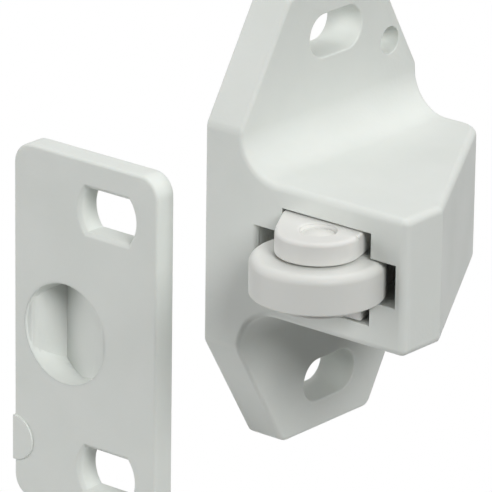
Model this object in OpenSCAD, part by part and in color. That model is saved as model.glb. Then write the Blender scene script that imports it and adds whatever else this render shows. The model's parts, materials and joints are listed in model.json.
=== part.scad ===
/* [Mounting flange] */
// Thickness of the flange that lies against the panel
flange_t = 3.9; // [3.2:0.1:5]
// Overall height of the flange
flange_h = 41.2; // [39.8:0.1:46]
// Depth of the flange, front edge to back edge
flange_d = 24.4; // [23.6:0.1:28]
// Straight length of the flange's front edge
front_edge_h = 19.9; // [16:0.1:23]
// Straight length of the flange's back edge
back_edge_h = 20.8; // [16:0.1:23]
// Depth of the slope from the front edge to a tip
front_taper_d = 6.5; // [5:0.1:8]
// Depth of the slope from the back edge to a tip
back_taper_d = 5.9; // [5:0.1:6.4]
// Radius of the flange's tips
tip_r = 1.2; // [0.5:0.1:2]

/* [Flange fixings] */
// Distance between the two screw slots
slot_spacing = 32; // [31:0.5:33]
// Width of a screw slot
slot_w = 3.9; // [3.2:0.1:4.3]
// Length of a screw slot, end to end
slot_l = 7.1; // [6:0.1:8.5]
// Front face to the middle of the screw slots
slot_setback = 12.8; // [12:0.1:13.5]
// Chamfer round the mouth of a screw slot
slot_chamfer = 0.1; // [0.1:0.1:0.5]
// Diameter of the small locating holes
locating_d = 2.5; // [1.5:0.1:2.6]
// Back edge to the small locating holes
locating_setback = 4; // [3.9:0.1:5]
// Height of the locating holes over and under the middle
locating_h = 13.4; // [12:0.1:13.6]

/* [Roller box] */
// Width of the box, mounting face to side
box_w = 22; // [21.8:0.1:24]
// Height of the box
box_h = 12.4; // [12:0.1:14]
// Depth of the straight side before the slanted wall
side_d = 5; // [4.6:0.1:6.5]
// Angle between the slanted wall and the front face's normal
wall_rake = 29.8; // [26:0.2:30.4]
// Radius of the box's front corner
corner_r = 0.8; // [0.5:0.1:0.9]
// Radius of the box's back corner, behind the slanted wall
back_corner_r = 2.4; // [0.5:0.1:2.6]
// Radius of the hollow blend between box and flange
blend_r = 3.7; // [2:0.1:4.5]

/* [Roller] */
// Diameter of the roller
roller_d = 11.7; // [11:0.1:12.2]
// Thickness of the roller
roller_t = 3.5; // [3:0.1:3.6]
// Radius of the roller's upper rim
roller_rim_r = 0.8; // [0.3:0.1:1.2]
// Radius of the roller's lower rim
roller_lower_rim_r = 0.2; // [0.1:0.1:0.8]
// Mounting face to the roller's axis
axis_x = 13.9; // [13.7:0.1:14.1]
// How far the axis stands in front of the front face
axis_out = 1.7; // [1.4:0.1:2.2]
// Free space beside the roller in its pocket
roller_side_gap = 1.35; // [0.5:0.05:1.4]
// Free space over and under the roller in its pocket
roller_end_gap = 0.15; // [0.1:0.05:0.2]

/* [Axle pin] */
// Diameter of the axle pin
pin_d = 3; // [2.5:0.1:3.5]
// Running clearance between pin and roller, on the radius
pin_clear = 0.08; // [0.03:0.01:0.1]
// How far the pin's ends lie inside the carriage's eyes
pin_sink = 0.2; // [0.1:0.05:0.3]
// Height of the domed ends of the pin
pin_dome = 0.25; // [0.1:0.05:0.4]
// Clearance of the pin in the eyes that grip it, on the radius
pin_grip = 0.01; // [0.01:0.01:0.02]

/* [Roller carriage] */
// Angle of the slide direction to the front face's normal
slide_rake = 17; // [16:1:19]
// Travel of the carriage
travel = 4.5; // [3:0.1:4.8]
// Diameter of the eyes that hold the pin
eye_d = 7.4; // [7:0.1:8]
// Thickness of the upper eye and of both arms
eye_t = 2.05; // [1.65:0.05:2.2]
// Thickness of the lower eye, which the roller hides
lower_eye_t = 0.9; // [0.8:0.05:1.2]
// Gap between the roller and each eye
eye_gap = 0.2; // [0.1:0.05:0.25]
// Radius of an eye's outer edges
eye_edge_r = 0.4; // [0.2:0.1:0.6]
// Roller's axis to where the arms' left side has flared to its full width
arm_shoulder = 3; // [2.6:0.1:4]
// How far the lower arm's thick end lies behind the front face
arm_setback = 0.1; // [0.05:0.05:0.4]
// Width of the crosshead that runs in the channel
crosshead_w = 8.9; // [8:0.1:9]
// Thickness of the crosshead
crosshead_t = 1.8; // [1.4:0.1:2.4]
// Gap between the roller and the crosshead
crosshead_gap = 0.6; // [0.3:0.1:1]
// Clearance of the crosshead in the channel, each side
guide_clear = 0.15; // [0.1:0.05:0.25]
// Length of the channel behind the roller's axis at rest
channel_l = 21; // [20.5:0.1:22]

/* [Snap legs] */
// Thickness of the legs behind the crosshead
leg_t = 1.1; // [0.9:0.1:1.2]
// Width of the legs
leg_w = 5; // [4:0.1:6]
// Length of the legs
leg_l = 6.2; // [5:0.1:7]
// Height of the barb on each leg
barb_h = 0.6; // [0.4:0.1:0.7]
// Length of the barbs
barb_l = 1.6; // [1.2:0.1:2]
// Clearance round the barbs in their grooves
barb_clear = 0.1; // [0.05:0.05:0.15]

/* [Spring] */
// Outside diameter of the spring
spring_d = 4.9; // [4.6:0.1:5]
// Diameter of the spring wire
wire_d = 0.6; // [0.5:0.05:0.65]
// Number of turns
spring_turns = 9; // [7:1:10]
// Clearance between the spring and what it seats on
spring_clear = 0.05; // [0.02:0.01:0.1]
// Diameter of the two spigots that centre the spring
spigot_d = 3.3; // [3:0.1:3.4]
// Length of the two spigots
spigot_l = 2.4; // [1.5:0.1:2.6]

/* [Strike plate] */
// Width of the strike plate
strike_w = 16.7; // [16:0.1:18]
// Height of the strike plate
strike_h = 34; // [32.6:0.1:36]
// Thickness of the strike plate
strike_t = 2.3; // [2:0.1:3]
// Corner radius of the strike plate
strike_corner_r = 2; // [1.5:0.1:3]
// Distance between the strike plate's screw slots
strike_slot_spacing = 24.6; // [23:0.1:25.2]
// Length of a strike slot, bulged end to bulged end
strike_slot_l = 6.3; // [5.8:0.1:6.4]
// Width of a strike slot
strike_slot_w = 4.1; // [3.6:0.1:4.3]
// Chamfer round the mouth of a strike slot
strike_slot_chamfer = 0.35; // [0.2:0.05:0.5]
// Left edge to the middle of the strike slots
strike_slot_x = 10.9; // [10.6:0.1:11.1]
// Left edge to the middle of the round recess
recess_x = 6; // [5.9:0.1:6.5]
// Diameter of the round recess
recess_d = 9.5; // [8.8:0.1:9.6]
// Depth of the recess at its valley
recess_depth = 2.9; // [2.4:0.1:3]
// Middle of the recess to the valley, to the left
valley_off = 2.3; // [2:0.1:2.5]
// Depth of the recess's side where a floor plane meets it
recess_rim = 0.3; // [0.1:0.1:0.4]
// How much narrower the recess is at its floor, on the radius
recess_draft = 0.5; // [0.3:0.05:0.7]
// Wall of the cup behind the recess
cup_wall = 1.1; // [0.9:0.1:1.3]
// Diameter of the round mark at the strike's lower left edge
mark_d = 4.3; // [3:0.1:5]
// Height of the round mark over the face
mark_proud = 0.15; // [0.1:0.05:0.3]
// Middle of the strike down to the middle of the mark
mark_down = 11.4; // [11:0.1:12.2]

/* [Place of the strike plate] */
// Gap between the strike plate and the flange
strike_gap = 5.5; // [4:0.1:12]
// How far the strike's middle lies under the flange's middle
strike_drop = 13.6; // [0:0.1:20]

/* [Hidden] */
$fn = 64;
eps = 0.01;
front_y = -slot_setback;
back_y = front_y + flange_d;
box_back_w = box_w - (flange_d - side_d) * tan(wall_rake);
roller_r = roller_d / 2;
pocket_r = roller_r + roller_side_gap;
pocket_h = roller_t + 2 * roller_end_gap;
eye_z = roller_t / 2 + eye_gap;
carriage_z = eye_z + eye_t;
lower_eye_z = eye_z + lower_eye_t;
pin_hole_d = pin_d + 2 * pin_grip;
channel_w = crosshead_w + 2 * guide_clear;
channel_h = 2 * (carriage_z + guide_clear);
crosshead_s = roller_r + crosshead_gap;
spring_seat_s = crosshead_s + crosshead_t;
leg_end_s = spring_seat_s + leg_l;
barb_start_s = leg_end_s - barb_l;
leg_z = carriage_z - leg_t;
spring_l = channel_l - spring_seat_s - 2 * spring_clear;
coil_r = (spring_d - wire_d) / 2;
coil_pitch = (spring_l - wire_d) / spring_turns;
strike_x = -strike_gap - strike_w;

// Places its children in the slide's own frame: the roller's axis at rest is the origin, +Y runs into the box
module slide_frame() {
    translate([axis_x, front_y - axis_out, 0]) rotate([0, 0, slide_rake]) children();
}

// A block in the slide's frame, centred on the slide line
module slide_block(w, s0, s1, z0, z1) {
    translate([-w / 2, s0, z0]) cube([w, s1 - s0, z1 - z0]);
}

// Round stub along +Y that centres one end of the spring
module spigot(l) {
    rotate([-90, 0, 0]) cylinder(d = spigot_d, h = l);
}

// Through slot with round ends along Y and a chamfered mouth at height h
module slot_cut(l, w, h, chamfer) {
    straight = l - w;
    for (side = [-1, 1]) translate([0, side * straight / 2, 0]) {
        translate([0, 0, -eps]) cylinder(d = w, h = h + 2 * eps);
        translate([0, 0, h - chamfer]) cylinder(d1 = w, d2 = w + 2 * chamfer + 2 * eps, h = chamfer + eps);
    }
    translate([0, straight / 2, 0]) rotate([90, 0, 0]) linear_extrude(straight) polygon([
        [-w / 2, -eps], [w / 2, -eps], [w / 2, h - chamfer], [w / 2 + chamfer + eps, h + eps],
        [-w / 2 - chamfer - eps, h + eps], [-w / 2, h - chamfer]
    ]);
}

// Takes the tip off a corner at the origin between directions a and b, with an arc that crosses both sides
module corner_cut_2d(a, b, r) {
    half = (b - a) / 2;
    reach = r / tan(half);
    inward = [cos(a + half), sin(a + half)] / sin(half);
    difference() {
        polygon([
            -eps * inward, reach * [cos(a), sin(a)] + eps * [sin(a), -cos(a)],
            r * inward, reach * [cos(b), sin(b)] + eps * [-sin(b), cos(b)]
        ]);
        translate((r - eps / 3) * inward) circle(r = r);
    }
}

// Flange outline, drawn with depth along X and height along Y
module flange_2d() {
    tip_h = flange_h / 2;
    front_angle = atan2(tip_h - front_edge_h / 2, front_taper_d);
    back_angle = atan2(tip_h - back_edge_h / 2, back_taper_d);
    difference() {
        polygon([
            [0, -front_edge_h / 2], [front_taper_d, -tip_h], [flange_d - back_taper_d, -tip_h],
            [flange_d, -back_edge_h / 2], [flange_d, back_edge_h / 2], [flange_d - back_taper_d, tip_h],
            [front_taper_d, tip_h], [0, front_edge_h / 2]
        ]);
        for (flip = [0, 1]) mirror([0, flip]) {
            translate([front_taper_d, tip_h]) corner_cut_2d(180 + front_angle, 360, tip_r);
            translate([flange_d - back_taper_d, tip_h]) corner_cut_2d(180, 360 - back_angle, tip_r);
        }
    }
}

// Turns a drawing of depth and height upright and gives it a thickness along X
module along_x(t) {
    rotate([90, 0, 90]) linear_extrude(t) children();
}

module flange() {
    translate([0, front_y, 0]) along_x(flange_t) flange_2d();
}

// Box outline seen from above, from the mounting face to the slanted wall
module box_2d() {
    difference() {
        polygon([[0, 0], [box_w, 0], [box_w, side_d], [box_back_w, flange_d], [0, flange_d]]);
        translate([box_w, 0]) corner_cut_2d(90, 180, corner_r);
        translate([box_back_w, flange_d]) corner_cut_2d(180, 270 + wall_rake, back_corner_r);
    }
}

module box() {
    translate([0, front_y, -box_h / 2]) linear_extrude(box_h) box_2d();
}

// Hollow blends over and under the box, where it meets the flange
module blends() {
    intersection() {
        for (flip = [0, 1]) mirror([0, 0, flip]) translate([flange_t, back_y, box_h / 2]) rotate([90, 0, 0])
            linear_extrude(flange_d) difference() {
                translate([-eps, -eps]) square(blend_r + eps);
                translate([blend_r, blend_r]) circle(r = blend_r);
            }
        translate([0, front_y, 0]) along_x(flange_t + blend_r) flange_2d();
    }
}

// Slanted channel for the carriage, with the roller's pocket and the blind grooves of the barbs
module channel() {
    groove_w = leg_w + 2 * barb_clear;
    groove_z = carriage_z + barb_h + guide_clear;
    groove_end_s = leg_end_s + travel + barb_clear;
    slide_frame() {
        slide_block(channel_w, -roller_r, channel_l, -channel_h / 2, channel_h / 2);
        slide_block(2 * pocket_r, -roller_r, travel, -pocket_h / 2, pocket_h / 2);
        translate([0, travel, -pocket_h / 2]) cylinder(r = pocket_r, h = pocket_h);
        slide_block(groove_w, barb_start_s - barb_clear, groove_end_s, -groove_z, groove_z);
    }
}

module screw_slots() {
    for (side = [-1, 1]) translate([0, 0, side * slot_spacing / 2])
        rotate([0, 90, 0]) slot_cut(slot_l, slot_w, flange_t, slot_chamfer);
}

module locating_holes() {
    for (side = [-1, 1]) translate([-eps, back_y - locating_setback, side * locating_h])
        rotate([0, 90, 0]) cylinder(d = locating_d, h = flange_t + 2 * eps);
}

module housing() {
    color("whitesmoke") {
        difference() {
            union() {
                flange();
                box();
                blends();
            }
            channel();
            screw_slots();
            locating_holes();
        }
        slide_frame() translate([0, channel_l - spigot_l, 0]) spigot(spigot_l);
    }
}

// Round eye with a softened outer edge, standing on the plane z = 0
module eye_disc(t) {
    rotate_extrude() intersection() {
        union() {
            square([eye_d / 2 - eye_edge_r, t]);
            square([eye_d / 2, t - eye_edge_r]);
            translate([eye_d / 2 - eye_edge_r, t - eye_edge_r]) circle(r = eye_edge_r);
        }
        square([eye_d / 2, t]);
    }
}

// Where a straight side that ends at (half_w, s) leaves a circle of radius r round the origin
function tangent_point(half_w, s, r) =
    let(a = atan2(s, half_w) - acos(r / norm([half_w, s]))) [r * cos(a), r * sin(a)];

// Outline of an arm: its left side flares from the eye to the crosshead's width, its right side runs straight
module arm_2d() {
    half_w = crosshead_w / 2;
    flare = tangent_point(half_w, arm_shoulder, eye_d / 2 - eps);
    polygon([
        [-flare.x, flare.y], [0, 0], [eye_d / 2, 0], [eye_d / 2, crosshead_s + eps],
        [-half_w, crosshead_s + eps], [-half_w, arm_shoulder]
    ]);
}

// What lies behind the housing's front face, drawn in the slide's frame
module behind_face_2d() {
    rotate(-slide_rake) translate([-box_w, axis_out + arm_setback]) square([2 * box_w, box_w]);
}

// Upper eye and arm, as thick as each other
module upper_arm() {
    translate([0, 0, eye_z]) {
        eye_disc(eye_t);
        linear_extrude(eye_t) arm_2d();
    }
}

// Lower eye and arm: thin in front of the housing's face, full thickness behind it
module lower_arm() {
    mirror([0, 0, 1]) translate([0, 0, eye_z]) {
        eye_disc(lower_eye_t);
        linear_extrude(lower_eye_t) arm_2d();
        linear_extrude(eye_t) intersection() {
            arm_2d();
            behind_face_2d();
        }
    }
}

// Snap leg with its barb
module snap_leg() {
    slide_block(leg_w, spring_seat_s - eps, leg_end_s, leg_z, carriage_z);
    translate([-leg_w / 2, barb_start_s, carriage_z - eps]) rotate([90, 0, 90]) linear_extrude(leg_w)
        polygon([[0, 0], [barb_l, 0], [barb_l / 3, barb_h + eps], [0, barb_h + eps]]);
}

// Countersink over the pin's end, standing on the plane z = 0
module pin_mouth() {
    cylinder(d1 = pin_hole_d, d2 = pin_hole_d + 2 * (pin_sink + eps), h = pin_sink + eps);
}

module roller_carriage() {
    color("gainsboro") slide_frame() difference() {
        union() {
            upper_arm();
            lower_arm();
            for (flip = [0, 1]) mirror([0, 0, flip]) snap_leg();
            slide_block(crosshead_w, crosshead_s, spring_seat_s, -carriage_z, carriage_z);
            translate([0, spring_seat_s - eps, 0]) spigot(spigot_l + eps);
        }
        translate([0, 0, -carriage_z - eps]) cylinder(d = pin_hole_d, h = 2 * (carriage_z + eps));
        translate([0, 0, carriage_z - pin_sink]) pin_mouth();
        mirror([0, 0, 1]) translate([0, 0, lower_eye_z - pin_sink]) pin_mouth();
    }
}

// Roller with a soft upper rim, a crisp lower rim and a plain bore
module roller() {
    half_t = roller_t / 2;
    upper_r = roller_r - roller_rim_r;
    lower_r = roller_r - roller_lower_rim_r;
    side_t = roller_t - roller_rim_r - roller_lower_rim_r;
    color("white") slide_frame() rotate_extrude() difference() {
        union() {
            translate([0, -half_t]) square([upper_r, roller_t]);
            translate([0, -half_t]) square([lower_r, roller_t - roller_rim_r]);
            translate([0, roller_lower_rim_r - half_t]) square([roller_r, side_t]);
            translate([upper_r, half_t - roller_rim_r]) circle(r = roller_rim_r);
            translate([lower_r, roller_lower_rim_r - half_t]) circle(r = roller_lower_rim_r);
        }
        translate([-roller_r, -roller_t]) square([roller_r + pin_d / 2 + pin_clear, 2 * roller_t]);
    }
}

// Pin with shallow domed ends
module axle_pin() {
    top = carriage_z - pin_sink;
    bottom = pin_sink - lower_eye_z;
    dome_r = (pow(pin_d / 2, 2) + pow(pin_dome, 2)) / (2 * pin_dome);
    color("white") slide_frame() rotate_extrude() intersection() {
        translate([0, bottom]) square([pin_d / 2, top - bottom]);
        translate([0, top - dome_r]) circle(r = dome_r);
        translate([0, bottom + dome_r]) circle(r = dome_r);
    }
}

// Corners of one six-sided ring of the spring wire, at the given turn angle
function wire_ring(angle) = let(
    sides = 6,
    s = spring_seat_s + spring_clear + wire_d / 2 + coil_pitch * angle / 360
) [for (i = [0:sides - 1]) let(
    out = coil_r + wire_d / 2 * cos(i * 360 / sides),
    along = s + wire_d / 2 * sin(i * 360 / sides)
) [out * cos(angle), along, out * sin(angle)]];

// The two triangles between ring r and the next ring at side i
function tube_side(r, i, sides) =
    let(a = r * sides + i, b = r * sides + (i + 1) % sides) [[a, b, b + sides], [a, b + sides, a + sides]];

// Faces of a tube through rings of corners, closed at both ends
function tube_faces(rings, sides) = concat(
    [for (i = [1:sides - 2]) [0, i + 1, i]],
    [for (r = [0:rings - 2], i = [0:sides - 1]) each tube_side(r, i, sides)],
    [for (i = [1:sides - 2]) let(e = (rings - 1) * sides) [e, e + i, e + i + 1]]
);

// Least distance from a ring of one turn to the rings of the next turn
function turn_gap(rings, per_turn) = min([
    for (p = rings[0], k = [per_turn - 1:per_turn + 1], q = rings[k]) norm(p - q)
]);

module compression_spring() {
    rings_per_turn = 8;
    rings = [for (k = [0:rings_per_turn * spring_turns]) wire_ring(k * 360 / rings_per_turn)];
    echo(least_gap_between_turns_mm = turn_gap(rings, rings_per_turn));
    color("darkgray") slide_frame()
        polyhedron(points = [for (ring = rings) each ring], faces = tube_faces(len(rings), 6));
}

// Strike outline, drawn with width along X and height along Y
module strike_2d() {
    inset = [strike_w / 2 - strike_corner_r, strike_h / 2 - strike_corner_r];
    translate([strike_w / 2, 0]) {
        square([strike_w, strike_h - 2 * strike_corner_r], center = true);
        square([strike_w - 2 * strike_corner_r, strike_h], center = true);
        for (x = [-1, 1], y = [-1, 1]) translate([x * inset[0], y * inset[1]]) circle(r = strike_corner_r);
    }
}

// Through slot with flat top and bottom, bulged ends and a chamfered mouth on the plane z = 0
module strike_slot_cut() {
    c = strike_slot_chamfer;
    mouth_l = strike_slot_l + 2 * (c + eps);
    intersection() {
        union() {
            translate([0, 0, -strike_t - eps]) cylinder(d = strike_slot_l, h = strike_t + 2 * eps);
            translate([0, 0, -c]) cylinder(d1 = strike_slot_l, d2 = mouth_l, h = c + eps);
        }
        rotate([90, 0, 90]) linear_extrude(2 * strike_slot_l, center = true) polygon([
            [-strike_slot_w / 2, -strike_t - 2 * eps], [strike_slot_w / 2, -strike_t - 2 * eps],
            [strike_slot_w / 2, -c], [strike_slot_w / 2 + c + 2 * eps, 2 * eps],
            [-strike_slot_w / 2 - c - 2 * eps, 2 * eps], [-strike_slot_w / 2, -c]
        ]);
    }
}

// Round recess with drafted sides and a floor of two planes that meet in an upright valley
module recess_cut() {
    r = recess_d / 2;
    floor_r = r - recess_draft;
    intersection() {
        translate([0, 0, -recess_depth]) cylinder(r1 = floor_r, r2 = r, h = recess_depth);
        rotate([90, 0, 0]) linear_extrude(2 * recess_d, center = true) polygon([
            [-r - 1, 1], [-r - 1, -recess_rim], [-floor_r, -recess_rim], [-valley_off, -recess_depth],
            [floor_r, -recess_rim], [r + 1, -recess_rim], [r + 1, 1]
        ]);
    }
    translate([0, 0, -eps]) cylinder(r = r, h = 3 * eps);
}

// The strike is drawn face up, then stood upright beside the catch with its face to the front
module strike_plate() {
    cup_r = recess_d / 2 - recess_draft + cup_wall;
    cup_depth = recess_depth + cup_wall;
    color("whitesmoke") translate([strike_x, front_y, -strike_drop]) rotate([90, 0, 0]) difference() {
        union() {
            translate([0, 0, -strike_t]) linear_extrude(strike_t) strike_2d();
            translate([recess_x, 0, -cup_depth]) cylinder(r = cup_r, h = cup_depth - eps);
            intersection() {
                translate([0, -mark_down, -strike_t + eps]) cylinder(d = mark_d, h = strike_t + mark_proud);
                translate([-mark_proud, -strike_h / 2, -strike_t]) cube([strike_w, strike_h, 2 * strike_t]);
            }
        }
        for (side = [-1, 1]) translate([strike_slot_x, side * strike_slot_spacing / 2]) strike_slot_cut();
        translate([recess_x, 0]) recess_cut();
    }
}

housing();
roller_carriage();
roller();
axle_pin();
compression_spring();
strike_plate();
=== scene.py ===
"""Roller catch for a cabinet door: a spring-loaded roller in a flanged housing, and its strike plate.

Every piece is built in the part's own frame, in metres: +X leaves the panel that carries the flange,
+Y runs from the roller's side to the back, and +Z runs up the flange.
"""

from __future__ import annotations

import json
import logging
import math
from collections.abc import Callable
from dataclasses import dataclass, field
from enum import Enum

import bmesh
import bpy
from mathutils import Matrix, Vector


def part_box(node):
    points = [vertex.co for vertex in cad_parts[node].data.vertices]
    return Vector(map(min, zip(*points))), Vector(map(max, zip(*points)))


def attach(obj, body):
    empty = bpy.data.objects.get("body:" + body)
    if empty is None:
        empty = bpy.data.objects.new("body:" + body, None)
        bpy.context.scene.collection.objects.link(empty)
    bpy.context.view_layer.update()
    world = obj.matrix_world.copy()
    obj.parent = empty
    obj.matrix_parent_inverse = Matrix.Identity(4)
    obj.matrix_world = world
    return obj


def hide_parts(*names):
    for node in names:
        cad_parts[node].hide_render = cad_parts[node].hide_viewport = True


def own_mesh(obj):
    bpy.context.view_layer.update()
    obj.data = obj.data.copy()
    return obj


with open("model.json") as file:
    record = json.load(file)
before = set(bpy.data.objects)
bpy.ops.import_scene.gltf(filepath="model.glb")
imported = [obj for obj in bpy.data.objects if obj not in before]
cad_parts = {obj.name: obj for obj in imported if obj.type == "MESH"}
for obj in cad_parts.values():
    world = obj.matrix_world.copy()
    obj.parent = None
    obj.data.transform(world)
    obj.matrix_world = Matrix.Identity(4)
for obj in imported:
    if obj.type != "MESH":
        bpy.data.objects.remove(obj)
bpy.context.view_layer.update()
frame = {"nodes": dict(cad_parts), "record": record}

log = logging.getLogger("roller_catch")

MM = 0.001
PHOTO_PIXELS = 492

# Two places that lie closer together than this are the same one
TOUCH_MM = 0.01
# A surface that turns less than this at an edge is a curved one, and the edge isn't a corner
CURVED_DEG = 25.0
# A turned piece has this many sides
TURNED_SIDES = 128

Profile = list[tuple[float, float]]
Faces = list[tuple[int, ...]]
EdgeRule = Callable[[bmesh.types.BMEdge], float]


class Body(Enum):
    """The parts of the catch that move on their own, by their names in the record."""

    HOUSING = "housing"
    CARRIAGE = "carriage"
    ROLLER = "roller"
    STRIKE = "strike"


def linear(hex_colour: str) -> tuple[float, float, float, float]:
    """Turns an sRGB colour into the linear one that the shaders read.

    Args:
        hex_colour: six hex digits after a hash, such as "#E4E5E1".

    Returns:
        Red, green, blue and an alpha of 1.
    """
    shares = [int(hex_colour[i : i + 2], 16) / 255 for i in (1, 3, 5)]
    red, green, blue = [s / 12.92 if s <= 0.04045 else ((s + 0.055) / 1.055) ** 2.4 for s in shares]
    return red, green, blue, 1.0


def add_node(
    tree: bpy.types.NodeTree,
    kind: str,
    settings: dict[str, object] | None = None,
    inputs: dict[str | int, object] | None = None,
) -> bpy.types.Node:
    """Adds one node to a tree, with its settings, its input values and its links.

    Args:
        tree: the node tree that gets the node.
        kind: Blender's name of the node's type.
        settings: properties of the node itself.
        inputs: for each input, a value or the output socket that feeds it.

    Returns:
        The new node.
    """
    node = tree.nodes.new(kind)
    for name, value in (settings or {}).items():
        setattr(node, name, value)
    for name, value in (inputs or {}).items():
        if isinstance(value, bpy.types.NodeSocket):
            tree.links.new(value, node.inputs[name])
        else:
            node.inputs[name].default_value = value
    return node


def empty_material(name: str) -> bpy.types.Material:
    """Makes a material whose node tree holds nothing yet.

    Args:
        name: the name of the new material.

    Returns:
        The material.
    """
    material = bpy.data.materials.new(name)
    material.use_nodes = True
    material.node_tree.nodes.clear()
    return material


@dataclass(frozen=True)
class MouldedPlastic:
    """Injection-moulded plastic: an even satin skin with slow changes of tone and a very fine tool grain.

    The real grain is about 0.05 mm wide. It is drawn some six times as wide, so that it shows at all.
    """

    name: str
    colour: str
    flow_colour: str
    ior: float
    specular: float
    roughness: float
    roughness_spread: float
    flow_mm: float
    grain_mm: float
    grain_depth_mm: float
    scatter: float
    scatter_mm: float

    def material(self) -> bpy.types.Material:
        """Builds the node tree of this plastic.

        Returns:
            The finished material.
        """
        material = empty_material(self.name)
        tree = material.node_tree
        place = add_node(tree, "ShaderNodeTexCoord")
        flow = add_node(
            tree, "ShaderNodeTexNoise", None,
            {
                "Vector": place.outputs["Object"], "Scale": 1 / (self.flow_mm * MM),
                "Detail": 3.0, "Roughness": 0.55,
            },
        )
        tone = add_node(
            tree, "ShaderNodeMix", {"data_type": "RGBA"},
            {"Factor": flow.outputs["Fac"], "A": linear(self.colour), "B": linear(self.flow_colour)},
        )
        polish = add_node(
            tree, "ShaderNodeMapRange", None,
            {
                "Value": flow.outputs["Fac"], "From Min": 0.3, "From Max": 0.7,
                "To Min": self.roughness - self.roughness_spread,
                "To Max": self.roughness + self.roughness_spread,
            },
        )
        grain = add_node(
            tree, "ShaderNodeTexNoise", None,
            {"Vector": place.outputs["Object"], "Scale": 1 / (self.grain_mm * MM), "Detail": 2.0},
        )
        bump = add_node(
            tree, "ShaderNodeBump", None,
            {"Height": grain.outputs["Fac"], "Distance": self.grain_depth_mm * MM, "Strength": 1.0},
        )
        skin = add_node(
            tree, "ShaderNodeBsdfPrincipled", None,
            {
                "Base Color": tone.outputs["Result"], "Roughness": polish.outputs["Result"],
                "IOR": self.ior, "Specular IOR Level": self.specular,
                "Normal": bump.outputs["Normal"], "Subsurface Weight": self.scatter,
                "Subsurface Radius": (1.0, 0.8, 0.65), "Subsurface Scale": self.scatter_mm * MM,
            },
        )
        add_node(tree, "ShaderNodeOutputMaterial", None, {"Surface": skin.outputs["BSDF"]})
        return material


@dataclass(frozen=True)
class DrawnSteelWire:
    """Spring steel wire: bright, with the fine marks that the drawing die leaves on it.

    The real marks are some hundredths of a millimetre wide. They are drawn wider, so that they show at all.
    """

    name: str
    colour: str
    mark_colour: str
    roughness: float
    mark_mm: float
    mark_depth_mm: float

    def material(self) -> bpy.types.Material:
        """Builds the node tree of the wire.

        Returns:
            The finished material.
        """
        material = empty_material(self.name)
        tree = material.node_tree
        place = add_node(tree, "ShaderNodeTexCoord")
        marks = add_node(
            tree, "ShaderNodeTexNoise", None,
            {"Vector": place.outputs["Object"], "Scale": 1 / (self.mark_mm * MM), "Detail": 4.0},
        )
        tone = add_node(
            tree, "ShaderNodeMix", {"data_type": "RGBA"},
            {"Factor": marks.outputs["Fac"], "A": linear(self.colour), "B": linear(self.mark_colour)},
        )
        bump = add_node(
            tree, "ShaderNodeBump", None,
            {"Height": marks.outputs["Fac"], "Distance": self.mark_depth_mm * MM, "Strength": 1.0},
        )
        skin = add_node(
            tree, "ShaderNodeBsdfPrincipled", None,
            {
                "Base Color": tone.outputs["Result"], "Metallic": 1.0, "Roughness": self.roughness,
                "Normal": bump.outputs["Normal"],
            },
        )
        add_node(tree, "ShaderNodeOutputMaterial", None, {"Surface": skin.outputs["BSDF"]})
        return material


# ABS off a satin tool: off-white with a trace of green, and a soft sheen that rounds every edge to the eye.
# Its specular level, like that of the other plastics, is half the usual one, because the white round the
# object would else show in every slanted face, which it doesn't in the photograph
ABS_SHELL = MouldedPlastic(
    name="ABS moulded off-white", colour="#E4E7E3", flow_colour="#DCE0DB", ior=1.54,
    specular=0.25, roughness=0.55, roughness_spread=0.06, flow_mm=6.0, grain_mm=0.35, grain_depth_mm=0.01,
    scatter=0.15, scatter_mm=0.6,
)
# Acetal is waxier and less green than ABS, and lets light a little way in, so that its rims stay soft
ACETAL_ROLLER = MouldedPlastic(
    name="POM moulded white", colour="#DFE0DC", flow_colour="#D9DAD6", ior=1.48,
    specular=0.25, roughness=0.45, roughness_spread=0.04, flow_mm=6.0, grain_mm=0.3, grain_depth_mm=0.003,
    scatter=0.25, scatter_mm=0.8,
)
# The fork is acetal too, off a plainer tool: slightly lighter than the roller, with a duller skin
ACETAL_FORK = MouldedPlastic(
    name="POM moulded white dull", colour="#E4E4E1", flow_colour="#DDDDD9", ior=1.48,
    specular=0.25, roughness=0.5, roughness_spread=0.05, flow_mm=6.0, grain_mm=0.3, grain_depth_mm=0.004,
    scatter=0.2, scatter_mm=0.7,
)
# The nylon pin is as light as the fork, and smoother than the other plastics
NYLON_PIN = MouldedPlastic(
    name="PA moulded white", colour="#E4E4E0", flow_colour="#DEDEDA", ior=1.53,
    specular=0.25, roughness=0.4, roughness_spread=0.04, flow_mm=3.0, grain_mm=0.3, grain_depth_mm=0.002,
    scatter=0.2, scatter_mm=0.6,
)
# Bright spring steel: crisp grey turns, which the housing hides
SPRING_WIRE = DrawnSteelWire(
    name="Spring steel drawn wire", colour="#C9C9C6", mark_colour="#A9A8A4",
    roughness=0.3, mark_mm=0.1, mark_depth_mm=0.002,
)


def turn(edge: bmesh.types.BMEdge) -> float:
    """Gives the angle in degrees through which the surface turns at an edge, negative in a hollow."""
    return math.degrees(edge.calc_face_angle_signed(0.0))


def middle_mm(edge: bmesh.types.BMEdge) -> Vector:
    """Gives an edge's midpoint in millimetres."""
    return (edge.verts[0].co + edge.verts[1].co) / 2 / MM


def tagged(mesh: bmesh.types.BMesh, rule: EdgeRule) -> dict[int, float]:
    """Asks a rule how far each edge is rounded.

    Args:
        mesh: the solid whose edges are asked about.
        rule: gives an edge's reach in millimetres, or 0 to leave it.

    Returns:
        The reach of each edge that is rounded, by the edge's index.
    """
    mesh.edges.index_update()
    found = {edge.index: rule(edge) for edge in mesh.edges if len(edge.link_faces) == 2}
    return {index: reach for index, reach in found.items() if reach > 0}


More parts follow.
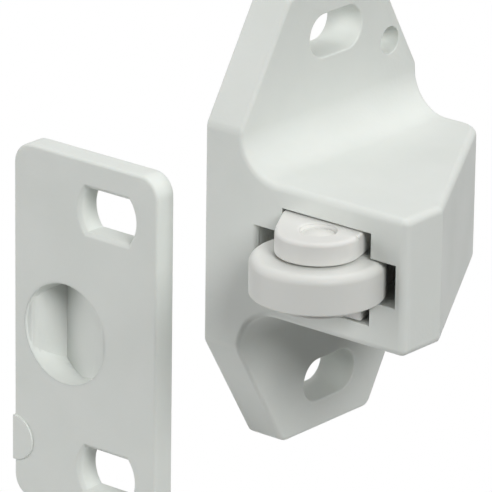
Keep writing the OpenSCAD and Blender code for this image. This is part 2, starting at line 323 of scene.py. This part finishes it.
def smooth(piece: bpy.types.Object, crease_deg: float) -> None:
    """Shades a piece smoothly between creases, with its flat faces kept flat.

    Args:
        piece: the mesh object to shade.
        crease_deg: edges that turn more than this stay sharp.
    """
    piece.data.polygons.foreach_set("use_smooth", [True] * len(piece.data.polygons))
    piece.data.set_sharp_from_angle(angle=math.radians(crease_deg))
    normals = piece.modifiers.new("flat faces", "WEIGHTED_NORMAL")
    normals.keep_sharp = True


@dataclass
class RoundedSolid:
    """A CAD solid with the small radii that its mould gives its edges."""

    node: str
    weld_mm: float = 0.001
    flat_deg: float = 0.5
    settle_deg: float = 0.05
    segments: int = 4
    crease_deg: float = 32.0

    def bare_mesh(self) -> bmesh.types.BMesh:
        """Copies the node's mesh, with shared corners and with each flat face whole again.

        Returns:
            The solid as an editable mesh.
        """
        mesh = bmesh.new()
        mesh.from_mesh(frame["nodes"][self.node].data)
        bmesh.ops.remove_doubles(mesh, verts=mesh.verts, dist=self.weld_mm * MM)
        flat = math.radians(self.flat_deg)
        bmesh.ops.dissolve_limit(mesh, angle_limit=flat, verts=mesh.verts, edges=mesh.edges)
        return mesh

    def piece(self, name: str, rule: EdgeRule) -> bpy.types.Object:
        """Rounds the solid's edges and makes an object of it.

        Args:
            name: the name of the new object.
            rule: gives an edge's reach in millimetres, or 0 to leave it.

        Returns:
            The object, with one smooth mesh.
        """
        solid = self.bare_mesh()
        reaches = tagged(solid, rule)
        widest = max(reaches.values())
        data = bpy.data.meshes.new(name)
        solid.to_mesh(data)
        solid.free()
        weights = data.attributes.new("bevel_weight_edge", "FLOAT", "EDGE")
        for index, reach in reaches.items():
            weights.data[index].value = reach / widest
        piece = bpy.data.objects.new(name, data)
        bpy.context.scene.collection.objects.link(piece)
        rounding = piece.modifiers.new("rounding", "BEVEL")
        rounding.limit_method = "WEIGHT"
        rounding.width = widest * MM
        rounding.segments = self.segments
        rounding.use_clamp_overlap = False
        rounding.loop_slide = False
        rounding.miter_outer = "MITER_SHARP"
        view = bpy.context.evaluated_depsgraph_get()
        rounded = bpy.data.meshes.new_from_object(piece.evaluated_get(view))
        piece.modifiers.clear()
        piece.data = rounded
        rounded.name = name
        bpy.data.meshes.remove(data)
        self.settle(rounded)
        smooth(piece, self.crease_deg)
        return piece

    def settle(self, rounded: bpy.types.Mesh) -> None:
        """Joins what the rounding left in one plane and cuts it into triangles, so that flats look flat.

        Args:
            rounded: the mesh to settle, in place.
        """
        mesh = bmesh.new()
        mesh.from_mesh(rounded)
        level = math.radians(self.settle_deg)
        bmesh.ops.dissolve_limit(mesh, angle_limit=level, verts=mesh.verts, edges=mesh.edges)
        bmesh.ops.triangulate(mesh, faces=mesh.faces, ngon_method="BEAUTY")
        mesh.to_mesh(rounded)
        mesh.free()


def mesh_piece(name: str, points: list[Vector], faces: Faces, crease_deg: float) -> bpy.types.Object:
    """Makes an object of points and faces.

    Args:
        name: the name of the new object.
        points: the corners, in metres.
        faces: the corners' numbers, face by face.
        crease_deg: edges that turn more than this stay sharp.

    Returns:
        The object, shaded smoothly.
    """
    data = bpy.data.meshes.new(name)
    data.from_pydata([tuple(p) for p in points], [], faces)
    data.update()
    piece = bpy.data.objects.new(name, data)
    bpy.context.scene.collection.objects.link(piece)
    smooth(piece, crease_deg)
    return piece


def arc(middle: tuple[float, float], radius: float, start: float, end: float, steps: int) -> Profile:
    """Gives points along an arc.

    Args:
        middle: the arc's middle.
        radius: its radius.
        start: the angle of its first point, in degrees.
        end: the angle of its last point, in degrees.
        steps: the number of equal steps between them.

    Returns:
        The points, both ends included.
    """
    angles = [math.radians(start + (end - start) * i / steps) for i in range(steps + 1)]
    return [(middle[0] + radius * math.cos(a), middle[1] + radius * math.sin(a)) for a in angles]


def turned_piece(
    name: str, middle: Vector, profile: Profile, closed: bool, crease_deg: float = 40.0
) -> bpy.types.Object:
    """Turns a profile round an upright axis.

    Args:
        name: the name of the new object.
        middle: a point on the axis, in metres, from which heights are measured.
        profile: radius and height of each point in millimetres, from the bottom up the outside.
        closed: whether the profile's last point joins its first, as round a bore.
        crease_deg: edges that turn more than this stay sharp.

    Returns:
        The turned object.
    """
    points: list[Vector] = []
    faces: Faces = []
    count = len(profile)
    for step in range(TURNED_SIDES):
        angle = 2 * math.pi * step / TURNED_SIDES
        for radius, height in profile:
            offset = Vector((radius * math.cos(angle), radius * math.sin(angle), height)) * MM
            points.append(middle + offset)
    for step in range(TURNED_SIDES):
        here, there = step * count, (step + 1) % TURNED_SIDES * count
        for i in range(count if closed else count - 1):
            after = (i + 1) % count
            faces.append((here + i, there + i, there + after, here + after))
    if not closed:
        faces.append(tuple(step * count for step in reversed(range(TURNED_SIDES))))
        faces.append(tuple(step * count + count - 1 for step in range(TURNED_SIDES)))
    return mesh_piece(name, points, faces, crease_deg)


def fit(
    piece: bpy.types.Object, node: str, body: Body, finish: bpy.types.Material
) -> bpy.types.Object:
    """Gives a piece its finish and its body, and hides the CAD node that it takes the place of.

    Args:
        piece: the object, in its place.
        node: the CAD node that it replaces.
        body: the body that it moves with.
        finish: the material that it shows.

    Returns:
        The same object.
    """
    piece.data.materials.clear()
    piece.data.materials.append(finish)
    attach(piece, body.value)
    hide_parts(node)
    log.info("%s: %d faces on body %s", piece.name, len(piece.data.polygons), body.value)
    return piece


def mount(name: str) -> dict:
    """Gives one of the record's mounts by its name."""
    return next(m for m in frame["record"]["mounts"] if m["name"] == name)


@dataclass(frozen=True)
class SlotPair:
    """Two screw slots one above the other, in millimetres, as the record states them."""

    place: Vector
    rise: float
    half_length: float
    radius: float

    @classmethod
    def from_record(cls, name: str) -> SlotPair:
        """Reads a pair of slots from the record.

        Args:
            name: the name of their mount.

        Returns:
            The pair, with its place midway between the two.
        """
        stated = mount(name)
        dims = stated["dims"]
        place = Vector(stated["pos_m"]) / MM
        return cls(place, dims["spacing_y_mm"] / 2, dims["slot_length_mm"] / 2, dims["hole_r_mm"])

    def near(self, along: float, up: float, margin: float) -> bool:
        """Tells whether a place lies at one of the slots.

        Args:
            along: how far it lies from the pair's middle the way that the slots run.
            up: how far it lies above the pair's middle.
            margin: how far from a slot still counts.

        Returns:
            True at a slot.
        """
        if abs(along) > self.half_length + margin:
            return False
        return abs(abs(up) - self.rise) < self.radius + margin


@dataclass
class Housing:
    """Flange and roller box in one moulding, with softer edges on the box than on the flange.

    The fields up to hole_mm are the reaches of its roundings. The next ones say where the edges lie that
    get them, and weld_mm joins the nearly equal corners that the solid has where its blends meet.
    """

    box_mm: float = 0.7
    flange_mm: float = 0.45
    crease_mm: float = 0.12
    panel_mm: float = 0.2
    mouth_mm: float = 0.1
    slot_mm: float = 0.05
    hole_mm: float = 0.08
    blend_mm: float = 3.7
    weld_mm: float = 0.06
    rim_mm: float = 0.2
    slot_margin_mm: float = 0.65
    hole_margin_mm: float = 0.15
    crease_half_mm: float = 1.0
    channel_over_mm: float = 1.2
    channel_beside_mm: float = 1.0
    channel_wall_mm: float = 0.3
    low: Vector = field(init=False)
    high: Vector = field(init=False)
    slots: SlotPair = field(init=False)
    hole: Vector = field(init=False)
    hole_radius: float = field(init=False)
    flange_top: float = field(init=False)
    channel_half: float = field(init=False)
    channel_left: float = field(init=False)

    def __post_init__(self) -> None:
        """Reads from the frame where the flange, the box, the holes and the channel lie."""
        self.low, self.high = [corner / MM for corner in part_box("housing")]
        fork_low, fork_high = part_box("roller_carriage")
        self.channel_half = fork_high.z / MM + self.channel_over_mm
        self.channel_left = fork_low.x / MM - self.channel_beside_mm
        self.slots = SlotPair.from_record("screw_slots")
        hole = mount("locating_hole_upper")
        self.hole = Vector(hole["pos_m"]) / MM
        self.hole_radius = hole["dims"]["r_mm"]
        self.flange_top = hole["dims"]["length_mm"]

    def in_channel(self, place: Vector) -> bool:
        """Tells whether a place lies in the channel of the fork, or at its mouth."""
        right = self.high.x - self.channel_wall_mm
        return abs(place.z) < self.channel_half and self.channel_left < place.x < right

    def at_hole(self, place: Vector) -> bool:
        """Tells whether a place lies at one of the two locating holes."""
        out = math.hypot(place.y - self.hole.y, abs(place.z) - self.hole.z)
        return out < self.hole_radius + self.hole_margin_mm

    def reach(self, edge: bmesh.types.BMEdge) -> float:
        """Gives an edge's rounding.

        Args:
            edge: an edge of the bare solid.

        Returns:
            Its reach in millimetres, 0 where it stays sharp.
        """
        place = middle_mm(edge)
        if turn(edge) < CURVED_DEG:
            return 0.0
        if self.in_channel(place):
            return self.mouth_mm if abs(place.y - self.low.y) < TOUCH_MM else 0.0
        inside = self.low.y + self.rim_mm < place.y < self.high.y - self.rim_mm
        if inside and self.slots.near(place.y, place.z, self.slot_margin_mm):
            return self.slot_mm
        if inside and self.at_hole(place):
            return self.hole_mm
        if place.x < TOUCH_MM:
            return self.panel_mm
        if place.x > self.high.x - TOUCH_MM and abs(place.z) < self.crease_half_mm:
            return self.crease_mm
        over = min(max((place.x - self.flange_top) / self.blend_mm, 0.0), 1.0)
        return self.flange_mm + (self.box_mm - self.flange_mm) * over

    def build(self) -> bpy.types.Object:
        """Builds and dresses the housing."""
        piece = RoundedSolid("housing", weld_mm=self.weld_mm).piece("catch_housing", self.reach)
        return fit(piece, "housing", Body.HOUSING, ABS_SHELL.material())


@dataclass
class SlidingFork:
    """The roller's fork with its crosshead and snap legs, and the pin through its eyes."""

    arm_mm: float = 0.15
    corner_deg: float = 30.0
    dome_mm: float = 0.25
    dome_end_deg: float = 89.0
    dome_steps: int = 10

    def reach(self, edge: bmesh.types.BMEdge) -> float:
        """Gives an edge's rounding in millimetres, 0 where it stays sharp."""
        return self.arm_mm if turn(edge) > self.corner_deg else 0.0

    def build_fork(self) -> bpy.types.Object:
        """Builds and dresses the fork."""
        piece = RoundedSolid("roller_carriage").piece("sliding_fork", self.reach)
        return fit(piece, "roller_carriage", Body.CARRIAGE, ACETAL_FORK.material())

    def build_pin(self) -> bpy.types.Object:
        """Builds and dresses the pin, whose ends are domed.

        Returns:
            The pin, whose domes stop just short of the axis, where small flats close them.
        """
        low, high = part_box("axle_pin")
        radius = (high.x - low.x) / 2 / MM
        half = (high.z - low.z) / 2 / MM
        ball = (radius**2 + self.dome_mm**2) / (2 * self.dome_mm)
        tilt = math.degrees(math.asin(radius / ball))
        top = arc((0, half - ball), ball, 90 - tilt, self.dome_end_deg, self.dome_steps)
        bottom = [(r, -h) for r, h in reversed(top)]
        piece = turned_piece("axle_pin_domed", (low + high) / 2, bottom + top, closed=False)
        return fit(piece, "axle_pin", Body.CARRIAGE, NYLON_PIN.material())


@dataclass
class Roller:
    """Roller with a soft upper rim, a crisp lower one and a plain bore."""

    upper_rim_mm: float = 0.8
    upper_steps: int = 12
    lower_rim_mm: float = 0.2
    lower_steps: int = 6
    bore_mm: float = 3.16
    bore_edge_mm: float = 0.2
    bore_steps: int = 4

    def build(self) -> bpy.types.Object:
        """Builds and dresses the roller.

        Returns:
            The roller, turned round its own axis.
        """
        low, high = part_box("roller")
        radius = (high.x - low.x) / 2 / MM
        half = (high.z - low.z) / 2 / MM
        upper, lower, edge = self.upper_rim_mm, self.lower_rim_mm, self.bore_edge_mm
        inner = self.bore_mm / 2 + edge
        profile = arc((inner, edge - half), edge, 180, 270, self.bore_steps)
        profile += arc((radius - lower, lower - half), lower, -90, 0, self.lower_steps)
        profile += arc((radius - upper, half - upper), upper, 0, 90, self.upper_steps)
        profile += arc((inner, half - edge), edge, 90, 180, self.bore_steps)
        piece = turned_piece("roller_wheel", (low + high) / 2, profile, closed=True)
        return fit(piece, "roller", Body.ROLLER, ACETAL_ROLLER.material())


@dataclass
class ReturnSpring:
    """Compression spring between the housing's back wall and the fork's crosshead."""

    wire_mm: float = 0.6
    turns: int = 9
    end_pitch_mm: float = 0.94
    steps_per_turn: int = 48
    sides: int = 16
    crease_deg: float = 50.0
    fixed_end: Vector = field(init=False)
    front_end: Vector = field(init=False)
    along: Vector = field(init=False)
    travel: float = field(init=False)
    length: float = field(init=False)
    coil: float = field(init=False)

    def __post_init__(self) -> None:
        """Reads from the frame where the spring lies and how it shortens."""
        joints = frame["record"]["behaviour"]["joints"]
        slide = next(joint for joint in joints if joint["name"] == "carriage_slide")
        deforming = next(d for d in slide["deforming_nodes"] if d["node"] == "compression_spring")
        self.fixed_end = Vector(deforming["fixed_end_m"])
        self.along = Vector(slide["axis"]).normalized()
        self.travel = slide["range_m"][1]
        points = [v.co for v in frame["nodes"]["compression_spring"].data.vertices]
        spans = [(p - self.fixed_end).dot(self.along) for p in points]
        self.front_end = self.fixed_end + self.along * min(spans)
        self.length = -min(spans)
        radii = [((p - self.fixed_end) - self.along * s).length for p, s in zip(points, spans)]
        self.coil = max(radii) - self.wire_mm * MM / 2

    def advance(self, turned: float) -> float:
        """Gives how far the wire's middle has climbed, in metres.

        Args:
            turned: the number of turns from the front end.

        Returns:
            The climb from the first wire's middle, with closer turns at both ends.
        """
        climb = self.length - self.wire_mm * MM
        near = self.end_pitch_mm * MM
        far = (climb - 2 * near) / (self.turns - 2)
        inner = min(max(turned - 1, 0), self.turns - 2)
        return near * min(turned, 1) + far * inner + near * max(turned - self.turns + 1, 0)

    def wire_points(self) -> list[Vector]:
        """Winds the wire's skin round the coil.

        Returns:
            The points, ring by ring from the front end.
        """
        wire = self.wire_mm * MM / 2
        upright = Vector((0, 0, 1))
        side = self.along.cross(upright).normalized()
        points: list[Vector] = []
        for step in range(self.turns * self.steps_per_turn + 1):
            turned = step / self.steps_per_turn
            angle = 2 * math.pi * turned
            out = side * math.cos(angle) + upright * math.sin(angle)
            middle = self.front_end + self.along * (wire + self.advance(turned)) + out * self.coil
            for i in range(self.sides):
                around = 2 * math.pi * i / self.sides
                points.append(middle + out * wire * math.cos(around) + self.along * wire * math.sin(around))
        return points

    def wire_faces(self) -> Faces:
        """Joins the rings and closes both ends.

        Returns:
            The faces, as numbers of the wire's points.
        """
        count = self.turns * self.steps_per_turn
        faces: Faces = []
        for step in range(count):
            for i in range(self.sides):
                here = step * self.sides + i
                beside = step * self.sides + (i + 1) % self.sides
                faces.append((here, beside, beside + self.sides, here + self.sides))
        faces.append(tuple(reversed(range(self.sides))))
        faces.append(tuple(count * self.sides + i for i in range(self.sides)))
        return faces

    def build(self) -> bpy.types.Object:
        """Builds and dresses the spring.

        Returns:
            The spring.
        """
        piece = mesh_piece("return_spring", self.wire_points(), self.wire_faces(), self.crease_deg)
        fit(piece, "compression_spring", Body.HOUSING, SPRING_WIRE.material())
        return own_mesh(piece)


@dataclass
class StrikePlate:
    """Plate that takes the roller in its round recess.

    The fields up to mark_mm are the reaches of its roundings, and the next ones say where the edges lie
    that get them. Its left edge is crisper than the rest, and the corners run from one to the other.
    """

    face_mm: float = 0.3
    left_mm: float = 0.12
    back_mm: float = 0.15
    slot_mm: float = 0.1
    recess_mm: float = 0.12
    mark_mm: float = 0.05
    corner_mm: float = 2.0
    recess_x_mm: float = 6.0
    cup_mm: float = 5.35
    cup_margin_mm: float = 0.05
    slot_margin_mm: float = 0.65
    mark_down_mm: float = 11.4
    mark_proud_mm: float = 0.15
    mark_band_mm: float = 2.4
    back_depth_mm: float = 1.0
    segments: int = 6
    crease_deg: float = 18.0
    left: float = field(init=False)
    middle: float = field(init=False)
    half_height: float = field(init=False)
    slots: SlotPair = field(init=False)

    def __post_init__(self) -> None:
        """Reads from the frame where the plate and its slots lie."""
        low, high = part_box("strike_plate")
        self.left = low.x / MM + self.mark_proud_mm
        self.middle = (low.z + high.z) / 2 / MM
        self.half_height = (high.z - low.z) / 2 / MM
        self.slots = SlotPair.from_record("strike_slots")

    def reach(self, edge: bmesh.types.BMEdge) -> float:
        """Gives an edge's rounding.

        Args:
            edge: an edge of the bare solid.

        Returns:
            Its reach in millimetres, 0 where it stays sharp.
        """
        place = middle_mm(edge)
        if turn(edge) < CURVED_DEG:
            return 0.0
        right, up = place.x - self.left, place.z - self.middle
        if math.hypot(right - self.recess_x_mm, up) < self.cup_mm + self.cup_margin_mm:
            return self.recess_mm
        if self.slots.near(place.x - self.slots.place.x, up, self.slot_margin_mm):
            return self.slot_mm
        if math.hypot(right, up + self.mark_down_mm) < self.mark_band_mm:
            return self.mark_mm
        across = max(self.corner_mm - right, 0.0)
        along = max(abs(up) - self.half_height + self.corner_mm, 0.0)
        round_corner = math.atan2(across, along) / (math.pi / 2)
        if place.y > self.slots.place.y + self.back_depth_mm:
            return self.back_mm * (1 - round_corner)
        return self.face_mm + (self.left_mm - self.face_mm) * round_corner

    def build(self) -> bpy.types.Object:
        """Builds and dresses the strike plate.

        Returns:
            The plate.
        """
        solid = RoundedSolid("strike_plate", segments=self.segments, crease_deg=self.crease_deg)
        piece = solid.piece("strike_plate_moulding", self.reach)
        return fit(piece, "strike_plate", Body.STRIKE, ABS_SHELL.material())


@dataclass(frozen=True)
class SoftLamp:
    """Wide studio lamp, so far off that its light is the same all over the catch.

    The level is the share of white that it gives a white face turned to it, and the spread is how wide
    it looks from the catch.
    """

    name: str
    towards: tuple[float, float, float]
    level: float
    spread_deg: float

    def hang(self) -> None:
        """Hangs the lamp in the scene."""
        data = bpy.data.lights.new(self.name, "SUN")
        data.energy = self.level * math.pi
        data.angle = math.radians(self.spread_deg)
        lamp = bpy.data.objects.new(self.name, data)
        lamp.rotation_mode = "QUATERNION"
        lamp.rotation_quaternion = Vector(self.towards).to_track_quat("Z", "Y")
        bpy.context.scene.collection.objects.link(lamp)


# From the right and above: it lights the flange, the box's top and the blend between them
KEY_LAMP = SoftLamp("key_lamp", (0.75, -0.36, 0.55), 0.75, 26)
# From the left and low: it lights the front faces and the left of the roller
LEFT_LAMP = SoftLamp("left_lamp", (-0.8, -0.58, 0.1), 0.54, 50)
# From above and behind: it lights the tops, and leaves the roller in the box's shade
TOP_LAMP = SoftLamp("top_lamp", (0.0, 0.35, 0.94), 0.41, 45)


@dataclass
class Studio:
    """Floor, sky, lamps and the photograph's camera.

    The camera's angles, distance, scale and aim were fitted to the photograph's vanishing directions and
    to the edges of the box.
    """

    azimuth_deg: float = 39.497
    elevation_deg: float = 19.876
    roll_deg: float = 0.790
    distance_mm: float = 455.79
    scale_px_per_mm: float = 11.5213
    aim_mm: tuple[float, float, float] = (2.140, -9.794, -1.600)
    sensor_mm: float = 36.0
    floor_drop_mm: float = 220.0
    floor_size_mm: float = 380.0
    floor_colour: str = "#F8F8F7"
    room_level: float = 0.03

    def build_camera(self) -> bpy.types.Object:
        """Places the camera where the photograph was taken from.

        Returns:
            The camera, which the scene now uses.
        """
        azimuth, elevation = math.radians(self.azimuth_deg), math.radians(self.elevation_deg)
        roll = math.radians(self.roll_deg)
        ahead = Vector((
            -math.sin(azimuth) * math.cos(elevation),
            math.cos(azimuth) * math.cos(elevation),
            -math.sin(elevation),
        ))
        level = Vector((math.cos(azimuth), math.sin(azimuth), 0))
        upright = level.cross(ahead)
        right = level * math.cos(roll) + upright * math.sin(roll)
        up = upright * math.cos(roll) - level * math.sin(roll)
        data = bpy.data.cameras.new("photograph")
        data.sensor_width = self.sensor_mm
        data.lens = self.sensor_mm * self.scale_px_per_mm * self.distance_mm / PHOTO_PIXELS
        camera = bpy.data.objects.new("photograph", data)
        place = Vector(self.aim_mm) * MM - ahead * self.distance_mm * MM
        turned = Matrix((right, up, -ahead)).transposed().to_4x4()
        camera.matrix_world = Matrix.Translation(place) @ turned
        bpy.context.scene.collection.objects.link(camera)
        bpy.context.scene.camera = camera
        return camera

    def build_floor(self) -> bpy.types.Object:
        """Lays a pale sheet under the catch, so far down that the photograph's view passes over it.

        Returns:
            The sheet, which takes the shadow of the catch.
        """
        half = self.floor_size_mm / 2 * MM
        height = -self.floor_drop_mm * MM
        corners = [(x * half, y * half, height) for x, y in ((-1, -1), (1, -1), (1, 1), (-1, 1))]
        data = bpy.data.meshes.new("studio_floor")
        data.from_pydata(corners, [], [(0, 1, 2, 3)])
        floor = bpy.data.objects.new("studio_floor", data)
        bpy.context.scene.collection.objects.link(floor)
        material = empty_material("Paper sheet matt")
        tree = material.node_tree
        paper = add_node(tree, "ShaderNodeBsdfDiffuse", None, {"Color": linear(self.floor_colour)})
        add_node(tree, "ShaderNodeOutputMaterial", None, {"Surface": paper.outputs["BSDF"]})
        data.materials.append(material)
        return floor

    def seen_directly(self, tree: bpy.types.NodeTree) -> bpy.types.NodeSocket:
        """Tells a shader whether it is looked at, straight, in a mirror or through something clear.

        Args:
            tree: the node tree that wants to know.

        Returns:
            An output that is 1 for such rays and 0 for those that only gather soft light.
        """
        path = add_node(tree, "ShaderNodeLightPath")
        mirrored = add_node(
            tree, "ShaderNodeMath", {"operation": "MAXIMUM"},
            {0: path.outputs["Is Camera Ray"], 1: path.outputs["Is Glossy Ray"]},
        )
        seen = add_node(
            tree, "ShaderNodeMath", {"operation": "MAXIMUM"},
            {0: mirrored.outputs[0], 1: path.outputs["Is Transmission Ray"]},
        )
        return seen.outputs[0]

    def build_sky(self) -> None:
        """Gives the room its even light, and shows itself white wherever it is looked at."""
        world = bpy.data.worlds.new("studio")
        world.use_nodes = True
        tree = world.node_tree
        tree.nodes.clear()
        strength = add_node(
            tree, "ShaderNodeMapRange", None,
            {"Value": self.seen_directly(tree), "To Min": self.room_level, "To Max": 1.0},
        )
        sky = add_node(
            tree, "ShaderNodeBackground", None,
            {"Color": (1, 1, 1, 1), "Strength": strength.outputs["Result"]},
        )
        add_node(tree, "ShaderNodeOutputWorld", None, {"Surface": sky.outputs["Background"]})
        bpy.context.scene.world = world

    def build(self) -> None:
        """Builds the whole studio."""
        bpy.context.scene.view_settings.view_transform = "Standard"
        self.build_camera()
        self.build_floor()
        self.build_sky()
        for lamp in (KEY_LAMP, LEFT_LAMP, TOP_LAMP):
            lamp.hang()


def main() -> None:
    """Builds the catch piece by piece, then the studio around it."""
    logging.basicConfig(level=logging.INFO, format="%(message)s")
    fork = SlidingFork()
    pieces = [
        Housing().build(),
        fork.build_fork(),
        fork.build_pin(),
        Roller().build(),
        ReturnSpring().build(),
        StrikePlate().build(),
    ]
    Studio().build()
    log.info("%d pieces built", len(pieces))


if __name__ == "__main__":
    main()
